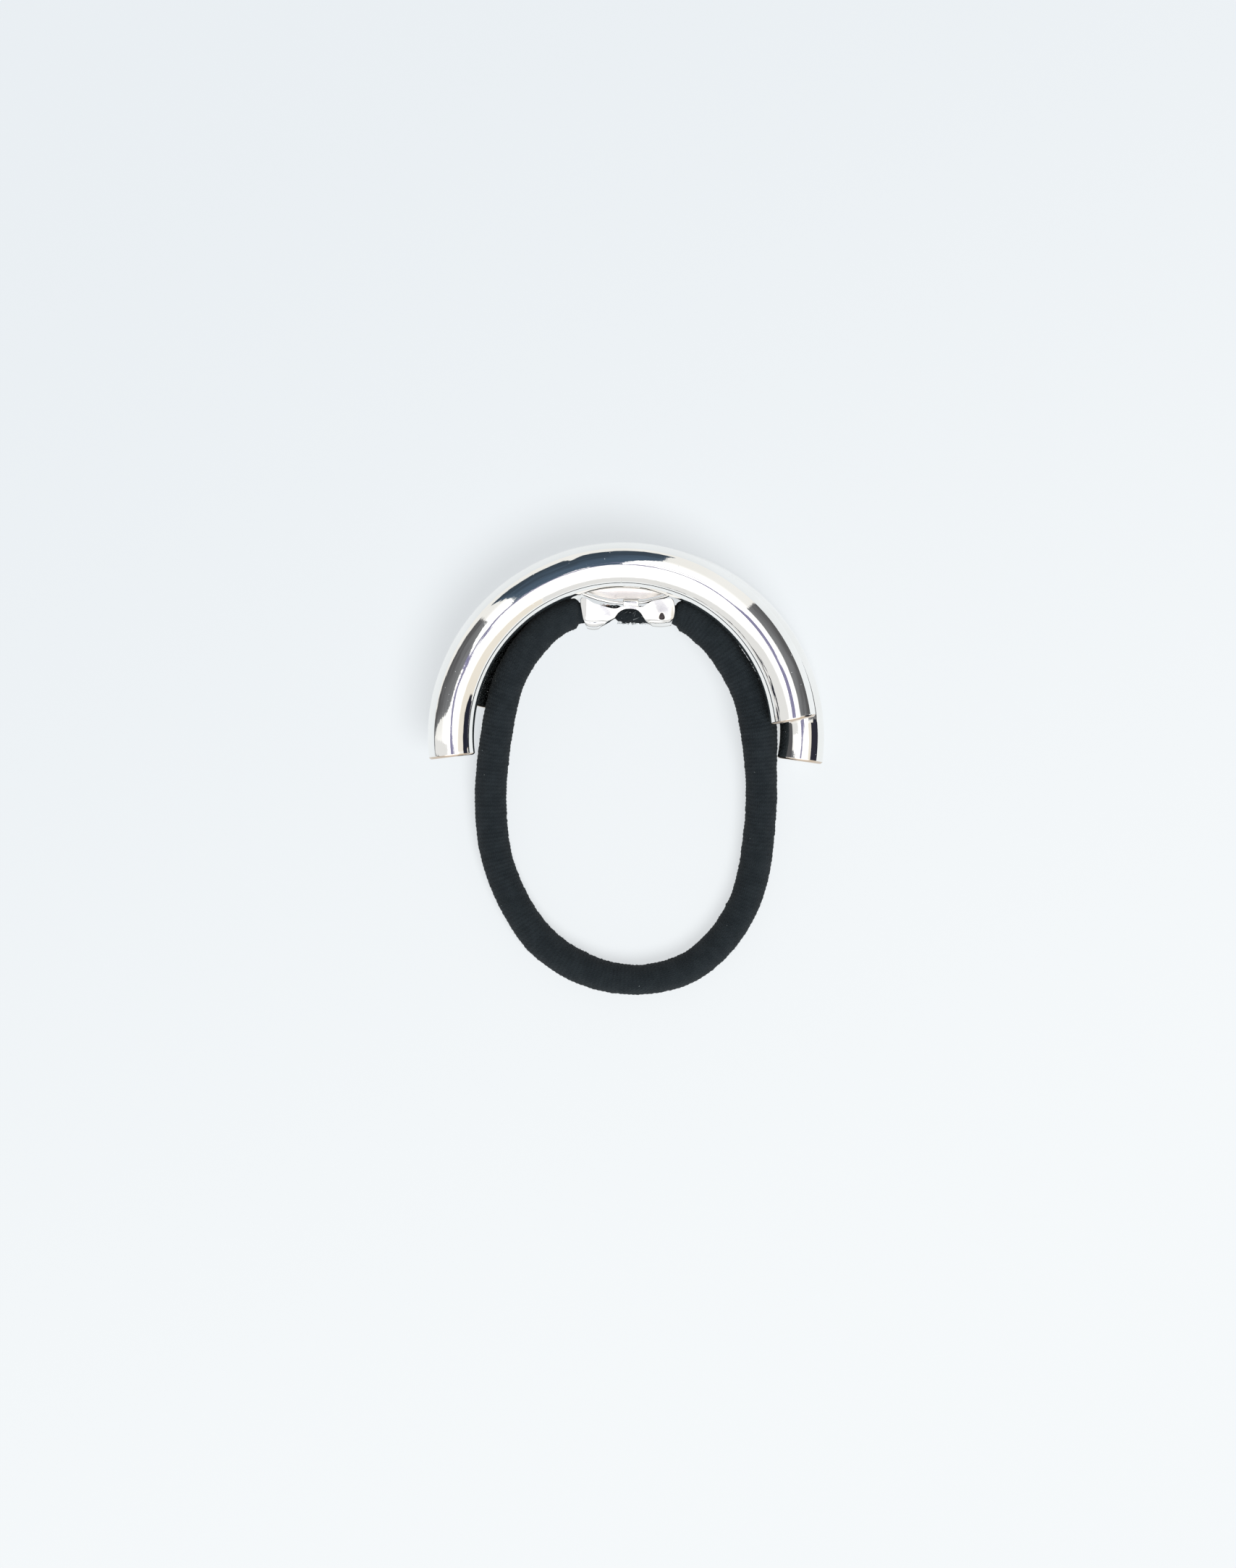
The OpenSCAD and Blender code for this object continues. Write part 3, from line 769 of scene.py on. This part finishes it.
fibre_look, fibre_tree, fibre_shader = material("loose_fibre", Roughness=0.8)
fibre_tint = fibre_tree.nodes.new("ShaderNodeAttribute")
fibre_tint.attribute_name = "tint"
fibre_tree.links.new(fibre_tint.outputs["Color"], fibre_shader.inputs["Base Color"])

chance = np.random.default_rng(7)
grown = np.flatnonzero(free > 0.99)
at_row, at_col = chance.choice(grown, FUZZ_COUNT), chance.integers(0, LOOP_COLS, FUZZ_COUNT)
out = outward[at_row, at_col]
root = loop_grid[at_row, at_col] - FUZZ_ROOT * MM * out
lean = out * chance.uniform(*FUZZ_OUT, (FUZZ_COUNT, 1)) * MM
lean = lean + chance.normal(0, FUZZ_STRAY, (FUZZ_COUNT, 3)) * MM
curl = chance.normal(0, FUZZ_CURL, (FUZZ_COUNT, 3)) * MM
tint = np.array(FIBRE_TINT) * chance.uniform(0.4, 1.6, (FUZZ_COUNT, 1))
lint = chance.random(FUZZ_COUNT) < LINT_SHARE
tint[lint] = LINT_AND_GLINT_TINT
thick = chance.uniform(*FUZZ_THICK, FUZZ_COUNT) * MM
thick[lint] *= LINT_THICKER
elastic_fuzz = fibres("elastic_fuzz", root, lean, curl, thick, tint)

# Where threads show: how many, the box that they start in and the way that they run, in mm from
# the clip's middle, how far they stray from it, their thickness, the share painted pale as highlights, and
# their tint
THREADS = [
    (46, (-1.0, -0.6, 0.75), (1.7, 0.5, 1.0), (0.35, 0.4, 0.06), 0.2, 0.035, 0.4, FIBRE_TINT),
    (150, (-1.3, -0.95, -0.3), (2.6, -0.75, 0.6), (0, -0.06, 0), 0.07, 0.035, 0, FIBRE_TINT),
    (90, (-3.9, 1.1, 0.7), (-1.3, 1.45, 1.3), (0.5, -0.08, 0), 0.07, 0.09, 0, FIBRE_TINT),
    (30, (1.4, 1.0, 0.7), (2.0, 1.3, 1.2), (0.3, 0, 0), 0.05, 0.08, 0, FIBRE_TINT),
    (12, (-3.7, 1.3, 1.35), (-2.4, 1.42, 1.4), (0.12, 0.25, 0.05), 0.04, 0.06, 0, RUBBER_TINT),
]
root, lean, curl, thick, tint = [], [], [], [], []
for count, low, high, heading, stray, thickness, pale_share, shade_tint in THREADS:
    root.append(chance.uniform(low, high, (count, 3)))
    lean.append(chance.normal(0, stray, (count, 3)) + heading)
    curl.append(chance.normal(0, 0.7 * stray, (count, 3)))
    thick.append(chance.uniform(0.6, 1.2, count) * thickness)
    shades = np.array(shade_tint) * chance.uniform(0.5, 1.4, (count, 1))
    # Painted highlight: the pale threads stand in for glints on the frayed strands
    pale = chance.random(count) < pale_share
    shades[pale] = np.array(LINT_AND_GLINT_TINT) * chance.uniform(0.3, 1.0, (pale.sum(), 1))
    tint.append(shades)
root, lean, curl, tint = (np.vstack(rows) for rows in (root, lean, curl, tint))
thick = np.concatenate(thick)
frayed_ends = fibres("frayed_ends", CLIP_AT + root * MM, lean * MM, curl * MM, thick * MM, tint)
for threads in (elastic_fuzz, frayed_ends):
    finish_piece(threads, "elastic_loop", fibre_look)

# The camera
# It looks straight down on the table. The photograph is 1708 by 2167 pixels, and 1 mm at the
# height of the upper tube's middle is 10.67 of them.
PHOTO_HEIGHT_PX = 2167
PX_PER_MM = 10.67
CAMERA_HEIGHT = 650 * MM
CAMERA_FROM_BEND = np.array([-0.56, -6.14]) * MM
SENSOR_MM = 36

camera = placed("camera", bpy.data.cameras.new("camera"))
bpy.context.scene.camera = camera
camera.location = (*(upper_centre[:2] + CAMERA_FROM_BEND), CAMERA_HEIGHT)
seen_height = PHOTO_HEIGHT_PX / PX_PER_MM * MM
camera.data.sensor_width = SENSOR_MM
camera.data.lens = SENSOR_MM * (CAMERA_HEIGHT - upper_centre[2]) / seen_height
camera.data.clip_start = 0.05

# The table and the light
# A pale board under a soft lamp. Grey and navy cards stand round the cuff, so that its polished
# tubes have something dark to mirror.
TABLE_HALF = 1.5
TABLE_FAR_PAINTED_LIGHT, TABLE_NEAR_PAINTED_LIGHT = (0.79, 0.83, 0.862), (0.882, 0.91, 0.925)
TABLE_GLOW = 0.74
TABLE_ANSWER = 0.26
LAMP_TURN, LAMP_RISE = 300, 64
LAMP_SPREAD = 34
LAMP_POWER = 3.0
ROOM_FILL = 0.3
# Painted light: the board's colour and glow brighten along this slant, from the far colour to the near one
# over twice the reach
TABLE_SLANT, TABLE_REACH = (0.45, -0.9, 0.0), 0.11

table_edges = (-TABLE_HALF, TABLE_HALF)
table_grid = np.array([[[x, y, 0] for x in table_edges] for y in table_edges])
table = skin("table", table_grid, wrap=False, caps=False)
table_look, table_tree, table_shader = material(
    "pale_board", Roughness=0.8, Emission_Strength=TABLE_GLOW, Specular_IOR_Level=0)

# Painted light: most of the board's brightness is its own glow, as on an overexposed picture, so that the
# lamp leaves only a faint shadow
table_place = table_tree.nodes.new("ShaderNodeTexCoord").outputs["Object"]
slant = vectors(table_tree, "DOT_PRODUCT", table_place, TABLE_SLANT)
slant = ramp(table_tree, slant, -TABLE_REACH, TABLE_REACH)
for socket, share in (("Base Color", TABLE_ANSWER), ("Emission Color", 1)):
    far_painted_light = tuple(share * tint for tint in TABLE_FAR_PAINTED_LIGHT)
    near_painted_light = tuple(share * tint for tint in TABLE_NEAR_PAINTED_LIGHT)
    table_tree.links.new(mixed(table_tree, slant, far_painted_light, near_painted_light), table_shader.inputs[socket])
table.data.materials.append(table_look)

lamp = placed("lamp", bpy.data.lights.new("lamp", "SUN"))
lamp.data.energy = LAMP_POWER
lamp.data.angle = math.radians(LAMP_SPREAD)
lamp.rotation_euler = (0, math.radians(90 - LAMP_RISE), math.radians(LAMP_TURN))
lamp.visible_glossy = False

world = bpy.data.worlds.new("studio")
bpy.context.scene.world = world
world.use_nodes = True
sky = world.node_tree
sky_out = sky.nodes["Background"]

# Bearings and heights are in degrees. A cloud shakes both by up to half of these, so that no edge
# is drawn straight.
SHAKEN_BEARING, SHAKEN_HEIGHT = 2.5, 9
direction = sky.nodes.new("ShaderNodeTexCoord").outputs["Generated"]
sky_x, sky_y, sky_z = axes(sky, direction)
shake = maths(sky, "SUBTRACT", noise(sky, direction, 22, 4), 0.5)
bearing = maths(sky, "DEGREES", maths(sky, "ARCTAN2", sky_y, sky_x))
bearing = maths(sky, "MULTIPLY_ADD", shake, SHAKEN_BEARING, bearing)
bearing = maths(sky, "WRAP", bearing, 300, -60)
height = maths(sky, "DEGREES", maths(sky, "ARCSINE", sky_z))
ragged_height = maths(sky, "MULTIPLY_ADD", shake, SHAKEN_HEIGHT, height)

# The lowest height that a drawn line can have, and how far it can rise from there
LINE_LOW, LINE_SPAN = -30, 150


def drawn_line(points):
    """The height over the bearing of a line drawn through the points with straight strokes."""
    first, last = points[0][0], points[-1][0]
    share = maths(sky, "DIVIDE", maths(sky, "SUBTRACT", bearing, first), last - first)
    node = sky.nodes.new("ShaderNodeFloatCurve")
    curve = node.mapping.curves[0]
    places = [((turn - first) / (last - first), (rise - LINE_LOW) / LINE_SPAN) for turn, rise in points]
    for place in places[1:-1]:
        curve.points.new(*place)
    curve.points[0].location, curve.points[-1].location = places[0], places[-1]
    for point in curve.points:
        point.handle_type = "VECTOR"
    node.mapping.update()
    sky.links.new(share, node.inputs["Value"])
    return maths(sky, "MULTIPLY_ADD", node.outputs["Value"], LINE_SPAN, LINE_LOW)


def card(foot, top, soft):
    """A mask, 1 between the two drawn lines and between their ends and 0 outside, and the share
    of the way up from the foot to the top."""
    foot_line, top_line = drawn_line(foot), drawn_line(top)
    above = ramp(sky, maths(sky, "SUBTRACT", ragged_height, foot_line), -soft, soft)
    below = ramp(sky, maths(sky, "SUBTRACT", top_line, ragged_height), -soft, soft)
    after = ramp(sky, bearing, foot[0][0] - 0.4, foot[0][0] + 0.4)
    before = ramp(sky, bearing, foot[-1][0] - 0.4, foot[-1][0] + 0.4, 1, 0)
    mask = maths(sky, "MULTIPLY", maths(sky, "MULTIPLY", above, below),
                 maths(sky, "MULTIPLY", after, before))
    climbed = maths(sky, "SUBTRACT", ragged_height, foot_line)
    return mask, maths(sky, "DIVIDE", climbed, maths(sky, "SUBTRACT", top_line, foot_line))


# Near straight up, an X or Y of 1 in the direction is about this many degrees
DEGREES_PER_UNIT = 57.3


def overhead_bar(start, end, half_width):
    """A mask: 1 within half_width of the stroke from start to end, all in degrees from straight
    up, with a soft edge as wide as the stroke."""
    reach = (end[0] - start[0], end[1] - start[1], 0.0)
    square = reach[0] ** 2 + reach[1] ** 2
    flat = vectors(sky, "MULTIPLY", direction, (DEGREES_PER_UNIT, DEGREES_PER_UNIT, 0.0))
    offset = vectors(sky, "SUBTRACT", flat, (start[0], start[1], 0.0))
    along = maths(sky, "DIVIDE", vectors(sky, "DOT_PRODUCT", offset, reach), square)
    held = maths(sky, "MINIMUM", maths(sky, "MAXIMUM", along, 0), 1)
    foot = sky.nodes.new("ShaderNodeVectorMath")
    foot.operation = "SCALE"
    foot.inputs[0].default_value = reach
    sky.links.new(held, foot.inputs["Scale"])
    away = vectors(sky, "DISTANCE", offset, foot.outputs[0])
    away = maths(sky, "MULTIPLY_ADD", shake, 2 * half_width, away)
    near = ramp(sky, away, 0.4 * half_width, 1.4 * half_width, 1, 0)
    return maths(sky, "MULTIPLY", near, ramp(sky, sky_z, 0.8, 0.9))


# The wall behind the bend is off-white low down and overexposed higher up. In front of the cuff
# it is grey on the left and warm on the right, each up to a line of bearings and heights.
WALL, GLARE = (0.9, 0.895, 0.87), (1.4, 1.4, 1.4)
LEFT_WALL, RIGHT_WALL = (0.79, 0.79, 0.78), (0.86, 0.81, 0.72)
LEFT_LINE = [(180, 75), (200, 66), (210, 60), (220, 50), (230, 41), (240, 34), (250, 29),
             (270, 26), (290, 27), (300, 30)]
RIGHT_LINE = [(-60, 30), (-50, 33), (-40, 38), (-30, 43), (-20, 48), (-10, 52), (6, 56)]

shown = mixed(sky, ramp(sky, height, 40, 66), WALL, GLARE)
in_front = ramp(sky, sky_y, -0.12, 0.06, 1, 0)
shown = mixed(sky, maths(sky, "MULTIPLY", in_front, ramp(sky, height, 10, 30)), shown, GLARE)
shown = mixed(sky, card([(180, -90), (300, -90)], LEFT_LINE, 5)[0], shown, LEFT_WALL)
shown = mixed(sky, card([(-60, -90), (6, -90)], RIGHT_LINE, 5)[0], shown, RIGHT_WALL)

# The cards, and the dark strips low down at both ends of the cuff. Each row is the drawn foot and
# the drawn top, as bearing and height, the colours at the foot and at the top, the softness of
# the edge in degrees, and whether bright gaps break the card up.
GREY_FOOT, GREY_TOP = (0.1, 0.1, 0.104), (0.205, 0.21, 0.22)
NAVY_FOOT, NAVY_TOP = (0.042, 0.06, 0.082), (0.077, 0.118, 0.172)
DARK_STRIP = (0.02, 0.022, 0.035)
CARDS = [
    ([(7, -3), (46, -1)], [(7, 52), (26, 54), (46, 57)], GREY_FOOT, GREY_TOP, 3, False),
    ([(139.5, 22), (150, 17), (160, 12), (170, 6), (178, -1), (187, -3)],
     [(139.5, 66), (143, 71), (147, 82), (151, 86), (155, 82), (160, 80), (166, 76), (170, 70),
      (172, 62), (173.5, 48), (176, 24), (178, 13), (180, 5), (187, 2)], GREY_FOOT, GREY_TOP, 2, False),
    ([(74, 12), (90, 16), (102, 18.5), (105.8, 31), (109, 20), (120, 20), (135, 16)],
     [(74, 13), (75, 17), (76, 24), (77, 50), (79, 58), (82, 65), (86, 72), (90, 79), (95, 86),
      (97, 91), (121.5, 91), (125, 86), (126.5, 76), (127.5, 65), (129.5, 52), (131, 42),
      (133, 30), (135, 17)],
     NAVY_FOOT, NAVY_TOP, 1.5, False),
    ([(185, 7), (211, 8), (222, 11), (235, 6), (250, 1), (262, -3)],
     [(185, 24), (208, 23), (212, 15), (222, 13.5), (235, 9), (250, 3), (262, -2)],
     DARK_STRIP, DARK_STRIP, 1, True),
    ([(-15, 0), (7, 3)], [(-15, 16), (-8, 25), (7, 27)], DARK_STRIP, DARK_STRIP, 1.5, False),
]
# A broken card has its gaps between these values of a cloud. Another cloud blotches every card.
GAP_FROM, GAP_TO = 0.53, 0.6
BLOTCH = 1.1
blotch = maths(sky, "SUBTRACT", noise(sky, direction, 7, 5), 0.5)
blotch = maths(sky, "MULTIPLY", blotch, BLOTCH)
unbroken = ramp(sky, noise(sky, direction, 13, 1), GAP_FROM, GAP_TO, 1, 0)
for foot, top, foot_tint, top_tint, soft, broken in CARDS:
    mask, climbed = card(foot, top, soft)
    if broken:
        mask = maths(sky, "MULTIPLY", mask, unbroken)
    tint = mixed(sky, ramp(sky, maths(sky, "ADD", climbed, blotch), 0.05, 1), foot_tint, top_tint)
    shown = mixed(sky, mask, shown, tint)

# What hangs over the cuff, as dark strokes: the start and the end of each in degrees from
# straight up, and its half width
OVERHEAD_TINT = (0.25, 0.24, 0.38)
OVERHEAD_BARS = [
    ((2, 1.5), (13, 3.5), 2.2), ((3, 2.5), (9, 7), 1.4), ((5.5, 10), (-1, 10.5), 0.7),
    ((-9, 5), (7, -4), 0.9), ((5.6, -10), (8.5, -7.5), 0.5), ((8.5, -7.5), (7.5, -4), 0.6),
    ((2, -4), (4.8, -3), 0.4),
]
for start_at, end_at, half_width in OVERHEAD_BARS:
    shown = mixed(sky, overhead_bar(start_at, end_at, half_width), shown, OVERHEAD_TINT)

# The metal mirrors all this, what it mirrors a second time fades to the pale wall, and everything
# else is lit by a plain pale room
SECOND_FADE = 0.75
light_path = sky.nodes.new("ShaderNodeLightPath")
deeper = ramp(sky, light_path.outputs["Glossy Depth"], 1.2, 1.8, 0, SECOND_FADE)
sky.links.new(mixed(sky, deeper, shown, WALL), sky_out.inputs["Color"])
room = sky.nodes.new("ShaderNodeBackground")
room.inputs["Color"].default_value = (1, 1, 1, 1)
room.inputs["Strength"].default_value = ROOM_FILL
choice = sky.nodes.new("ShaderNodeMixShader")
sky.links.new(light_path.outputs["Is Glossy Ray"], choice.inputs["Fac"])
sky.links.new(room.outputs[0], choice.inputs[1])
sky.links.new(sky_out.outputs[0], choice.inputs[2])
sky.links.new(choice.outputs[0], sky.nodes["World Output"].inputs["Surface"])
world.cycles.sampling_method = "NONE"

# Three cards stand so near the cuff that it mirrors them lower down, or in one place alone: the
# foot of the right grey card, a dark one past the lower tube's right end, and a grey one inside
# the bend, which faces that end. Only their mirror images are wanted. Each row is the near and
# the far end from the middle of the bend in mm, the heights of the foot and the top, and the
# colour. A card shows only on the side that has its near end on the left.
NEAR_CARDS = [
    ("low_card", (48.6, 6), (560, 570), (7, 13), GREY_FOOT),
    ("end_card", (38, -8), (38, 3.2), (5.1, 17), (0.028, 0.028, 0.042)),
    ("inner_card", (14, 1.2), (14, -2.6), (5.4, 13.5), (0.1, 0.1, 0.105)),
]
for name, near_end, far_end, heights, tint in NEAR_CARDS:
    card_grid = np.array([[[*end, rise] for rise in heights] for end in (near_end, far_end)]) * MM
    near_card = skin(name, card_grid + [*upper_centre[:2], 0], wrap=False, caps=False)
    card_look, card_tree, card_shader = material(
        name, Base_Color=(0, 0, 0, 1), Emission_Color=(*tint, 1), Emission_Strength=1,
        Specular_IOR_Level=0)
    behind = card_tree.nodes.new("ShaderNodeNewGeometry").outputs["Backfacing"]
    mirrored = card_tree.nodes.new("ShaderNodeLightPath").outputs["Glossy Depth"]
    hidden = maths(card_tree, "MAXIMUM", behind, ramp(card_tree, mirrored, 1.2, 1.8))
    card_tree.links.new(maths(card_tree, "SUBTRACT", 1, hidden), card_shader.inputs["Alpha"])
    near_card.data.materials.append(card_look)
    near_card.visible_camera = near_card.visible_diffuse = near_card.visible_shadow = False

bpy.context.scene.view_settings.view_transform = "Standard"
